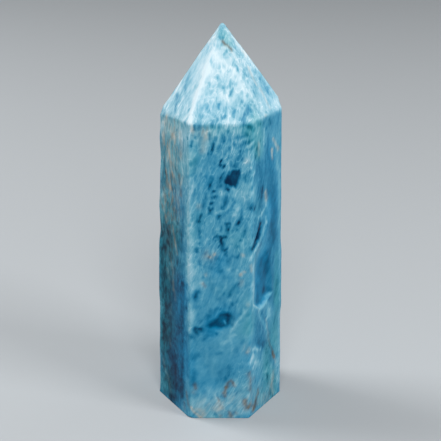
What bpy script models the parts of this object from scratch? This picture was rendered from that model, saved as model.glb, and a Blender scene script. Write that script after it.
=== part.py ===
# Apatite wand: a six-sided tower of blue apatite, cut and polished from one stone, with a
# flat foot and a six-sided point. Metres, +Z up. The front facet faces -Y, and the origin
# is on the foot, on the axis that the side facets are measured from.
from math import cos, radians, sin

import bmesh
import bpy
from mathutils import Matrix, Vector

MM = 0.001

# The sawn blank in millimetres, larger than the finished stone all round.
BLANK_WIDTH = 44.0
BLANK_HEIGHT = 105.0
# How much of the blank is sawn off below the foot.
SAW_ROOM = 5.0

# Side facets, ground by hand: (way it faces in degrees, distance from the axis at the foot
# in millimetres, lean in towards the point in degrees).
SIDE_FACETS = {
    "front": (-90.0, 12.85, 1.2),
    "front_right": (-31.4, 12.45, 0.5),
    "back_right": (29.8, 12.65, 0.95),
    "back": (90.0, 12.65, 0.9),
    "back_left": (149.4, 12.55, 1.1),
    "front_left": (211.0, 12.65, 0.6),
}

# Point facets: (way it faces, slope up from level), in degrees. All six meet at POINT.
POINT_FACETS = {
    "front": (-90.4, 59.2),
    "front_right": (-31.6, 58.4),
    "back_right": (30.7, 57.4),
    "back": (90.0, 58.6),
    "back_left": (150.2, 59.6),
    "front_left": (207.3, 58.5),
}
POINT = (0.25, 0.45, 90.55)

# The edges, corners and tip are worn to this radius by polishing, in millimetres, and
# each rounded edge is this many narrow flats. The foot was sawn last and is crisp.
EDGE_RADIUS = 0.65
EDGE_FLATS = 3

# Knocks: flat breaks that take off a corner of the foot. (Way each one faces and slope down
# from level in degrees, distance from the middle of the foot in millimetres.)
KNOCKS = {
    "front_left_corner": (236.0, 38.0, 11.15),
    "back_right_corner": (62.0, 44.0, 9.75),
}

# Natural hollows that grinding left in the facets: the facet, then across and up on it to
# the middle, length, width and depth in millimetres, the lean of the length from upright
# in degrees, to the right as seen from outside, and the share that the lower end is wider
# and deeper than the middle by.
HOLLOWS = {
    "scoop": ("front_right", -1.4, 34.4, 17.0, 6.6, 0.85, 4.0, 0.42),
    "slit": ("front_right", -4.6, 44.6, 8.6, 1.4, 0.7, 18.0, 0.0),
    "eye": ("front", 0.0, 25.1, 6.4, 3.3, 0.5, 76.0, 0.0),
    "left_edge_high": ("front_left", -6.9, 59.3, 4.5, 1.8, 0.3, 0.0, 0.0),
    "left_edge_low": ("front_left", -7.2, 6.5, 9.0, 1.6, 0.25, 0.0, 0.0),
}
# A hollow is the cap of an ellipsoid, whose middle stands off the facet by this share of
# its half thickness.
CAP_OFFSET = 0.6
CUTTER_SEGMENTS = 36
CUTTER_RINGS = 20

STONE_BLUE = (0.06, 0.29, 0.44, 1.0)
POLISH_ROUGHNESS = 0.16
APATITE_IOR = 1.63

# Points this close to a cutting plane, in metres, are taken as on it, and faces that turn
# by less than this many degrees are one facet.
PLANE_SNAP = 1e-7
FACET_TURN = 0.05


def clear_scene():
    for item in list(bpy.data.objects):
        bpy.data.objects.remove(item)


def make_collection(name):
    collection = bpy.data.collections.new(name)
    bpy.context.scene.collection.children.link(collection)
    return collection


def facing(azimuth, rise):
    """Unit vector that faces azimuth and rises above level, both in degrees."""
    turn = radians(azimuth)
    lift = radians(rise)
    return Vector((cos(turn) * cos(lift), sin(turn) * cos(lift), sin(lift)))


def grind(mesh, on_plane, outward):
    """Takes off what lies outside the plane and leaves a flat facet there."""
    whole = mesh.verts[:] + mesh.edges[:] + mesh.faces[:]
    cut = bmesh.ops.bisect_plane(
        mesh, geom=whole, dist=PLANE_SNAP, plane_co=on_plane, plane_no=outward, clear_outer=True
    )
    rim = [item for item in cut["geom_cut"] if isinstance(item, bmesh.types.BMEdge)]
    bmesh.ops.holes_fill(mesh, edges=rim, sides=0)


def grind_facets(mesh, inset):
    """Grinds the sides and the point, with every facet set in by this much."""
    for azimuth, distance, lean in SIDE_FACETS.values():
        outward = facing(azimuth, lean)
        grind(mesh, facing(azimuth, 0.0) * distance * MM - outward * inset, outward)
    for azimuth, slope in POINT_FACETS.values():
        outward = facing(azimuth, 90.0 - slope)
        grind(mesh, Vector(POINT) * MM - outward * inset, outward)


def directions_at(corner):
    """Ways that the worn surface faces round a corner: its facets' and those between."""
    facets = [face.normal for face in corner.link_faces]
    middle = sum(facets, Vector()).normalized()
    found = facets + [middle]
    pairs = [[face.normal for face in edge.link_faces] for edge in corner.link_edges]
    pairs += [[facet, middle] for facet in facets]
    for first, second in pairs:
        for step in range(1, EDGE_FLATS):
            found.append(first.slerp(second, step / EDGE_FLATS))
    return found


def cut_stone():
    """The blank ground to the tower, with its edges worn round, as one closed mesh."""
    inner = bmesh.new()
    size = Vector((BLANK_WIDTH, BLANK_WIDTH, BLANK_HEIGHT)) * MM
    bmesh.ops.create_cube(inner, size=1.0, matrix=Matrix.Diagonal(size).to_4x4())
    bmesh.ops.translate(inner, verts=inner.verts, vec=(0.0, 0.0, size.z / 2.0 - SAW_ROOM * MM))
    radius = EDGE_RADIUS * MM
    grind_facets(inner, radius)
    bmesh.ops.remove_doubles(inner, verts=inner.verts, dist=PLANE_SNAP)
    bmesh.ops.recalc_face_normals(inner, faces=inner.faces)
    inner.normal_update()

    # The worn stone is the hull of the inner tower's corners, each moved out by the edge
    # radius in every direction that the surface faces there.
    worn = bmesh.new()
    for corner in inner.verts:
        for outward in directions_at(corner):
            worn.verts.new(corner.co + outward * radius)
    inner.free()
    hull = bmesh.ops.convex_hull(worn, input=worn.verts)
    inside = {item for item in hull["geom_interior"] if isinstance(item, bmesh.types.BMVert)}
    bmesh.ops.delete(worn, geom=list(inside), context="VERTS")
    bmesh.ops.dissolve_limit(
        worn, angle_limit=radians(FACET_TURN), verts=worn.verts, edges=worn.edges
    )
    grind(worn, Vector(), Vector((0.0, 0.0, -1.0)))
    for azimuth, slope, distance in KNOCKS.values():
        outward = facing(azimuth, -slope)
        grind(worn, outward * distance * MM, outward)
    bmesh.ops.recalc_face_normals(worn, faces=worn.faces)
    data = bpy.data.meshes.new("stone")
    worn.to_mesh(data)
    worn.free()
    return data


def facet_frame(facet):
    """Origin on the facet below its middle line, with X across it, Y up it and Z outward."""
    azimuth, distance, lean = SIDE_FACETS[facet]
    outward = facing(azimuth, lean)
    across = facing(azimuth + 90.0, 0.0)
    up = outward.cross(across)
    turn = Matrix((across, up, outward)).transposed().to_4x4()
    return Matrix.Translation(facing(azimuth, 0.0) * distance * MM) @ turn


def make_cutter(name, hollow, cutters):
    """An ellipsoid whose cap, below the facet, has the hollow's length, width and depth."""
    facet, across, up, length, width, depth, lean, fuller = hollow
    thickness = depth / (1.0 - CAP_OFFSET)
    spread = (1.0 - CAP_OFFSET**2) ** 0.5
    half = Vector((width / 2.0 / spread, length / 2.0 / spread, thickness)) * MM
    place = Matrix.Translation(Vector((across, up, thickness * CAP_OFFSET)) * MM)
    mesh = bmesh.new()
    bmesh.ops.create_uvsphere(
        mesh, u_segments=CUTTER_SEGMENTS, v_segments=CUTTER_RINGS, radius=1.0
    )
    for point in mesh.verts:
        swell = 1.0 - fuller * point.co.y
        point.co.x *= swell
        point.co.z *= swell
    bmesh.ops.transform(mesh, matrix=Matrix.Diagonal(half).to_4x4(), verts=mesh.verts)
    data = bpy.data.meshes.new(name)
    mesh.to_mesh(data)
    mesh.free()
    cutter = bpy.data.objects.new(name, data)
    cutter.matrix_world = facet_frame(facet) @ place @ Matrix.Rotation(radians(-lean), 4, "Z")
    cutter.hide_render = True
    cutter.display_type = "WIRE"
    cutters.objects.link(cutter)
    return cutter


def carve(stone, cutter):
    cut = stone.modifiers.new(cutter.name, "BOOLEAN")
    cut.operation = "DIFFERENCE"
    cut.solver = "EXACT"
    cut.object = cutter


def polished_apatite():
    material = bpy.data.materials.new("polished apatite")
    material.use_nodes = True
    shader = material.node_tree.nodes["Principled BSDF"]
    shader.inputs["Base Color"].default_value = STONE_BLUE
    shader.inputs["Roughness"].default_value = POLISH_ROUGHNESS
    shader.inputs["IOR"].default_value = APATITE_IOR
    shader.inputs["Metallic"].default_value = 0.0
    return material


def main():
    clear_scene()
    wand = make_collection("apatite wand")
    cutters = make_collection("cutters")
    stone = bpy.data.objects.new("apatite_point", cut_stone())
    wand.objects.link(stone)
    stone.data.materials.append(polished_apatite())
    for name, hollow in HOLLOWS.items():
        carve(stone, make_cutter(name, hollow, cutters))


main()
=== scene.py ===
import bpy
import numpy as np
from mathutils import Matrix, Vector


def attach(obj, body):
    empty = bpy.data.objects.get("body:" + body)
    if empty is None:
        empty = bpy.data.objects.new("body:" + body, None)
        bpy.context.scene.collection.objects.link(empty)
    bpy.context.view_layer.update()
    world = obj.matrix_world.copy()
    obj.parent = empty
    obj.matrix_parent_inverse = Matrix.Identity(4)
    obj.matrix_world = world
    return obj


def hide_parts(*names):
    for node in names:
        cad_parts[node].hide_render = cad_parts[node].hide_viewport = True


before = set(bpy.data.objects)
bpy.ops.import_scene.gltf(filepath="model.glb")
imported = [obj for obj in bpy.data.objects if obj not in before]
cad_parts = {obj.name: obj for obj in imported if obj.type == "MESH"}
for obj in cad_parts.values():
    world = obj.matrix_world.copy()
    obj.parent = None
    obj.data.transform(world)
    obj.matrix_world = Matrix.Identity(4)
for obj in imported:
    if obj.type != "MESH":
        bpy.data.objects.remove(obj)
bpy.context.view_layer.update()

print("scene: frame loaded")

# Lengths inside this script are millimetres; a mesh is put into metres as it is made.
metresPerMm = 0.001

# The camera, as the photograph was taken. It looks along +Y and down. Marks are given at
# pixels of the photograph, x to the right and y down from its upper left corner.
camera = {
    "lookAt": (0.0, 0.0, 44.3),
    "distance": 287.2,
    "elevation": 21.85,
    "roll": -0.2,
    "focalPixels": 1257.2,
    "imagePixels": 441.0,
    "sensor": 36.0,
}

# The stone's facets, as the solid has them. A side is (way it faces, distance from the
# axis at the foot, lean in), a point facet is (way it faces, slope up from level) and a
# knock, a flat break at the foot, is (way it faces, slope down, distance from the origin).
stone = {
    "sides": {
        "front": (-90.0, 12.85, 1.2),
        "frontRight": (-31.4, 12.45, 0.5),
        "backRight": (29.8, 12.65, 0.95),
        "back": (90.0, 12.65, 0.9),
        "backLeft": (149.4, 12.55, 1.1),
        "frontLeft": (211.0, 12.65, 0.6),
    },
    "pointFacets": {
        "front": (-90.4, 59.2),
        "frontRight": (-31.6, 58.4),
        "backRight": (30.7, 57.4),
        "back": (90.0, 58.6),
        "backLeft": (150.2, 59.6),
        "frontLeft": (207.3, 58.5),
    },
    "point": (0.25, 0.45, 90.55),
    "knocks": {"frontLeftCorner": (236.0, 38.0, 11.15), "backRightCorner": (62.0, 44.0, 9.75)},
    "edgeRadius": 0.65,
    "footRadius": 0.16,
    "tip": 89.9,
    "tipCone": 0.64,  # cosine of the half angle of the cone in which the tip is round
    "shoulder": 71.0,
    "shoulderBlend": 1.5,  # mesh columns pass from side to point facets this far around it
    "axisBend": 60.0,  # height from which the axis of the slices bends to the point
    "sideEdgesTo": 74.0,  # the edges between the sides are followed up to here
    "pointEdges": (66.0, 89.0),  # and those of the point between these heights
    "widest": 20.0,  # more than the stone's half width
    # How finely the mesh is divided.
    "columns": {
        "front": 92, "frontRight": 48, "backRight": 34,
        "back": 34, "backLeft": 34, "frontLeft": 48,
    },
    "sideRows": 246,
    "pointRows": 78,
    "footRings": 8,
    "edgeCrowding": 0.2,
    "tipCrowding": 1.12,
    "halvings": 26,
    # For each mm up, a fibre of the crystal goes this far to the right and back. It stands
    # straighter towards the point, by twice the bend for each mm.
    "fibreRight": 0.56,
    "fibreBend": -0.00248,
    "fibreBack": 0.2,
    # The ripple that polishing leaves, (size and height in mm, seed), and how far in from
    # the worn shape it lies.
    "ripples": [(7.0, 0.03, 11), (2.2, 0.012, 12)],
    "wear": 0.03,
    "crispFoot": 0.6,  # the ripple fades out this far above the foot
}


def compass(azimuth, rise=0.0):
    # Unit vector that faces azimuth and rises above level, both in degrees.
    turn, lift = np.radians(azimuth), np.radians(rise)
    return np.array([np.cos(turn) * np.cos(lift), np.sin(turn) * np.cos(lift), np.sin(lift)])


def facetPlanes():
    # Outward normals and offsets of the twelve ground facets: n . p = offset on a facet.
    normals, offsets = [], []
    for azimuth, distance, lean in stone["sides"].values():
        normals.append(compass(azimuth, lean))
        offsets.append(distance * np.cos(np.radians(lean)))
    for azimuth, slope in stone["pointFacets"].values():
        normals.append(compass(azimuth, 90.0 - slope))
        offsets.append(normals[-1] @ np.array(stone["point"]))
    return np.array(normals), np.array(offsets)


normals, offsets = facetPlanes()


def wornDistance(place):
    # Distance outside the stone with every facet set in by the edge radius: to a facet,
    # to the line where two facets meet if that is nearer, or to the tip. The worn surface
    # is where this equals the radius, so edges come out as true round arcs.
    radius = stone["edgeRadius"]
    reach = place @ normals.T - (offsets - radius)
    order = np.argsort(-reach, axis=-1)[..., :2]
    first, second = np.moveaxis(np.take_along_axis(reach, order, axis=-1), -1, 0)
    cosine = np.sum(normals[order[..., 0]] * normals[order[..., 1]], axis=-1)
    sine = np.sqrt(np.maximum(1.0 - cosine**2, 1e-9))
    squared = np.maximum(first**2 + second**2 - 2.0 * first * second * cosine, 0.0)
    toEdge = np.sqrt(squared) / sine
    distance = np.where((second > first * cosine) & (first > 0.0), toEdge, first)
    steepest = normals[6:, 2].mean()
    innerTip = np.array(stone["point"]) - np.array([0.0, 0.0, radius / steepest])
    fromTip = place - innerTip
    reachTip = np.linalg.norm(fromTip, axis=-1)
    overTip = fromTip[..., 2] > reachTip * stone["tipCone"]
    return np.where(overTip, np.maximum(distance, reachTip), distance)


def knockedOff(place):
    # Whether each place was lost when a corner of the foot broke.
    lost = np.zeros(place.shape[:-1], bool)
    for azimuth, slope, distance in stone["knocks"].values():
        lost |= place @ compass(azimuth, -slope) > distance
    return lost


def axisAt(height):
    # The line that level slices are measured from: upright, then bending to the point.
    bend, (across, back, top) = stone["axisBend"], stone["point"]
    share = np.clip((height - bend) / (top - bend), 0.0, 1.0)
    return np.stack([share * across, share * back], axis=-1)


def edgeAt(first, second, height):
    # Where two neighbouring facets' planes meet at each level, measured from the axis.
    pair = normals[[first, second]]
    right = offsets[[first, second], None] - pair[:, 2:3] * height
    return np.linalg.solve(pair[:, :2], right) - axisAt(height).T


def cornerAngles(heights):
    # Angle of each of the six edges in each level slice: of the side facets below the
    # shoulder, of the point facets above it, eased across.
    blend = stone["shoulderBlend"]
    ease = np.clip((heights - stone["shoulder"] + blend) / (2.0 * blend), 0.0, 1.0)
    angles = []
    for one in range(6):
        other = (one + 1) % 6
        lower = edgeAt(one, other, np.minimum(heights, stone["sideEdgesTo"]))
        upper = edgeAt(one + 6, other + 6, np.clip(heights, *stone["pointEdges"]))
        lowerAngle = np.arctan2(lower[1], lower[0])
        turn = np.angle(np.exp(1j * (np.arctan2(upper[1], upper[0]) - lowerAngle)))
        angles.append(lowerAngle + ease * turn)
    return np.unwrap(np.stack(angles, axis=-1), axis=-1)


def crowded(count, crowding):
    # Even steps from 0 to 1, drawn together towards both ends.
    step = np.arange(count) / count
    return step - crowding * np.sin(2.0 * np.pi * step) / (2.0 * np.pi)


def waves(place, size, seed, count=9):
    # A smooth uneven field of about -1 to 1: sine waves about one size long that run in
    # different directions, added together and divided by the square root of their number.
    draw = np.random.default_rng(seed)
    ways = draw.normal(size=(count, 3))
    lengths = size * draw.uniform(0.6, 1.6, count) * np.linalg.norm(ways, axis=1)
    phases = draw.uniform(0.0, 2.0 * np.pi, count)
    field = np.sin(place @ (2.0 * np.pi * ways / lengths[:, None]).T + phases)
    return field.sum(axis=-1) / np.sqrt(count)


def sliceHeights():
    # Heights of the level slices: close together round the edge of the foot, even up the
    # sides, and closer again towards the tip.
    top = stone["shoulder"] - stone["shoulderBlend"]
    rounding = stone["footRadius"] * np.array([0.0, 0.12, 0.4, 1.0])
    sides = np.linspace(0.0, top, stone["sideRows"])[1:]
    rise = np.linspace(0.0, 1.0, stone["pointRows"] + 1)[1:]
    point = top + (stone["tip"] - top) * (1.0 - (1.0 - rise) ** stone["tipCrowding"])
    return np.concatenate([rounding, sides[sides > rounding[-1]], point])


def stoneGrid():
    # One slice per row and one direction per column. A point is where a level ray from
    # the axis leaves the worn stone: x, y = axis(z) + r(angle, z) * (cos angle, sin angle),
    # with r found by halving, less what the rounding of the foot's edge takes off.
    heights = sliceHeights()
    corners = cornerAngles(heights)
    corners = np.concatenate([corners[:, -1:] - 2.0 * np.pi, corners], axis=1)
    columns = []
    for number, name in enumerate(stone["sides"]):
        share = crowded(stone["columns"][name], stone["edgeCrowding"])
        start, end = corners[:, number, None], corners[:, number + 1, None]
        columns.append(start + (end - start) * share)
    angles = np.concatenate(columns, axis=1)
    middle = axisAt(heights)[:, None, :]
    way = np.stack([np.cos(angles), np.sin(angles)], axis=-1)
    level = np.broadcast_to(heights[:, None, None], angles.shape + (1,))
    near = np.zeros(angles.shape)
    far = np.full(angles.shape, stone["widest"])
    for _ in range(stone["halvings"]):
        half = (near + far) / 2.0
        place = np.concatenate([middle + way * half[..., None], level], axis=-1)
        outside = (wornDistance(place) > stone["edgeRadius"]) | knockedOff(place)
        near, far = np.where(outside, near, half), np.where(outside, half, far)
    radius = stone["footRadius"]
    up = np.clip(1.0 - heights / radius, 0.0, 1.0)
    near = near - (radius * (1.0 - np.sqrt(1.0 - up**2)))[:, None]
    near = np.maximum(near, 0.0)
    return np.concatenate([middle + way * near[..., None], level], axis=-1)


def surfaceNormals(grid):
    # Outward normals of the grid from its neighbours along the row and the column.
    across = np.roll(grid, -1, axis=1) - np.roll(grid, 1, axis=1)
    along = np.gradient(grid, axis=0)
    found = np.cross(across, along)
    return found / np.maximum(np.linalg.norm(found, axis=-1, keepdims=True), 1e-9)


def cameraFrame():
    # Where the camera stands and its right, up and back directions.
    lift = np.radians(camera["elevation"])
    back = np.array([0.0, -np.cos(lift), np.sin(lift)])
    up = np.array([0.0, np.sin(lift), np.cos(lift)])
    right = np.array([1.0, 0.0, 0.0])
    roll = np.radians(camera["roll"])
    rolledRight = right * np.cos(roll) - up * np.sin(roll)
    rolledUp = right * np.sin(roll) + up * np.cos(roll)
    return np.array(camera["lookAt"]) + back * camera["distance"], rolledRight, rolledUp, back


def onStone(pixels):
    # The points of the stone that show at these pixels of the photograph: each one's ray
    # enters the stone at the last facet plane that it crosses inwards.
    eye, right, up, back = cameraFrame()
    shift = (np.array(pixels, float) - camera["imagePixels"] / 2.0) / camera["focalPixels"]
    rays = shift[:, :1] * right - shift[:, 1:] * up - back
    facing = rays @ normals.T
    reach = (offsets - normals @ eye) / facing
    entry = np.where(facing < 0.0, reach, -np.inf).max(axis=1)
    return eye + rays * entry[:, None]


def nearestOnLine(place, line):
    # Distance from each place to a line of points.
    if len(line) == 1:
        return np.linalg.norm(place - line[0], axis=-1)
    nearest = np.full(place.shape[:-1], np.inf)
    for start, end in zip(line[:-1], line[1:]):
        step = end - start
        share = np.clip((place - start) @ step / (step @ step), 0.0, 1.0)
        apart = np.linalg.norm(place - start - share[..., None] * step, axis=-1)
        nearest = np.minimum(nearest, apart)
    return nearest


def fromPhoto(rows):
    # Rows of (size, amount, pixel x, pixel y, and so on) as (size, amount, line on the stone).
    return [(row[0], row[1], onStone(np.reshape(row[2:], (-1, 2)))) for row in rows]


def drawStrokes(place, strokes, farthest=2.4):
    # Soft strokes added together, amount * exp(-(distance / size) ** 2) each, out to where
    # they no longer show.
    field = np.zeros(len(place))
    for size, amount, line in strokes:
        low, high = line.min(axis=0) - farthest * size, line.max(axis=0) + farthest * size
        near = np.flatnonzero(((place > low) & (place < high)).all(axis=1))
        field[near] += amount * np.exp(-((nearestOnLine(place[near], line) / size) ** 2))
    return field


def insideOutline(place, facet, pixels, skin=1.2, wellOut=5.0):
    # Distance in from a closed outline on a facet, below 0 outside it. A place farther off
    # the facet's plane than its skin counts as well outside.
    number = list(stone["sides"]).index(facet)
    sideways = compass(stone["sides"][facet][0] + 90.0)
    outline = onStone(pixels)
    outline = np.stack([outline @ sideways, outline[:, 2]], axis=-1)
    across, up = place @ sideways, place[..., 2]
    inside = np.zeros(across.shape, bool)
    for (x0, y0), (x1, y1) in zip(outline, np.roll(outline, -1, axis=0)):
        crossing = (y0 > up) != (y1 > up)
        inside ^= crossing & (across < (x1 - x0) * (up - y0) / (y1 - y0 + 1e-12) + x0)
    flat = np.stack([across, up], axis=-1)
    distance = nearestOnLine(flat, np.concatenate([outline, outline[:1]]))
    onFacet = np.abs(place @ normals[number] - offsets[number]) < skin
    return np.where(inside & onFacet, distance, -distance - np.where(onFacet, 0.0, wellOut))


def drawWindows(place, windows):
    # Closed patches, full inside their outline and gone a little way outside it.
    field = np.zeros(len(place))
    for facet, softness, amount, pixels in windows:
        inward = insideOutline(place, facet, pixels)
        field += amount * np.clip(inward / softness / 2.0 + 0.5, 0.0, 1.0)
    return field


# Hollows in the facets, outlined at pixels of the photograph: the facet, the outline, the
# depth in mm, then how far in from the outline the floor of the hollow is reached at its
# upper end and at its lower end.
hollows = {
    "scoop": (
        "frontRight",
        [
            (262.5, 238.0), (256.0, 252.0), (254.2, 268.0), (254.6, 290.0), (253.6, 304.0),
            (256.0, 307.8), (260.0, 309.0), (263.6, 306.4), (266.4, 301.0), (271.5, 293.5),
            (271.5, 276.0), (268.5, 255.0),
        ],
        0.8, 3.0, 0.8,
    ),
    "slit": (
        "frontRight",
        [
            (262.5, 221.0), (257.8, 231.0), (254.6, 241.0), (252.3, 250.5), (256.6, 243.6),
            (260.6, 233.0),
        ],
        0.65, 0.8, 0.7,
    ),
    "eye": (
        "front",
        [
            (205.5, 324.5), (212.0, 318.0), (222.0, 312.5), (231.0, 312.8), (236.0, 318.6),
            (233.0, 327.5), (222.5, 330.4), (212.0, 328.0),
        ],
        0.42, 1.6, 1.2,
    ),
}
hollowFade = 0.45  # how much shallower a hollow is at its upper end

# Bulges (above 0) and dents (below 0) along the edges: (size in mm, height in mm, then the
# pixels of the photograph that it runs through, x and y in turn).
swells = [
    (2, 0.16, 160.5, 138), (2.4, -0.12, 160.2, 160), (2.4, 0.2, 160, 204), (2, -0.1, 160, 230),
    (2.4, 0.2, 160, 244, 159.8, 288), (2.4, -0.14, 160.5, 366, 161, 388),
    (2.4, 0.16, 281.5, 252, 281, 300), (1, -0.12, 192, 412), (1, -0.1, 254, 125),
    (1.2, -0.06, 188, 128), (1, -0.1, 246.4, 413), (0.8, -0.12, 266.6, 309, 266, 318),
    (0.5, -0.12, 259, 312, 270.5, 346), (1.4, 0.1, 268, 212, 266.5, 230, 259, 252),
    (0.8, 0.08, 258, 350), (0.4, -0.12, 227, 43.5, 231.4, 48.6),
]


def carveHollows(place):
    # How each place moves as the hollows are worn in. A hollow's wall rises from its floor
    # as sin(turn), where turn goes from 90 degrees to 0 over the last part to its outline.
    shift = np.zeros(place.shape)
    for facet, pixels, depth, upperWall, lowerWall in hollows.values():
        outline = onStone(pixels)
        low, high = outline[:, 2].min(), outline[:, 2].max()
        inward = insideOutline(place, facet, pixels)
        share = np.clip((place[..., 2] - low) / (high - low), 0.0, 1.0)
        wall = lowerWall + (upperWall - lowerWall) * share
        fall = np.sin(np.clip(inward / wall, 0.0, 1.0) * np.pi / 2.0) * depth
        fall *= 1.0 - hollowFade * share
        shift -= fall[..., None] * normals[list(stone["sides"]).index(facet)]
    return shift


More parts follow.
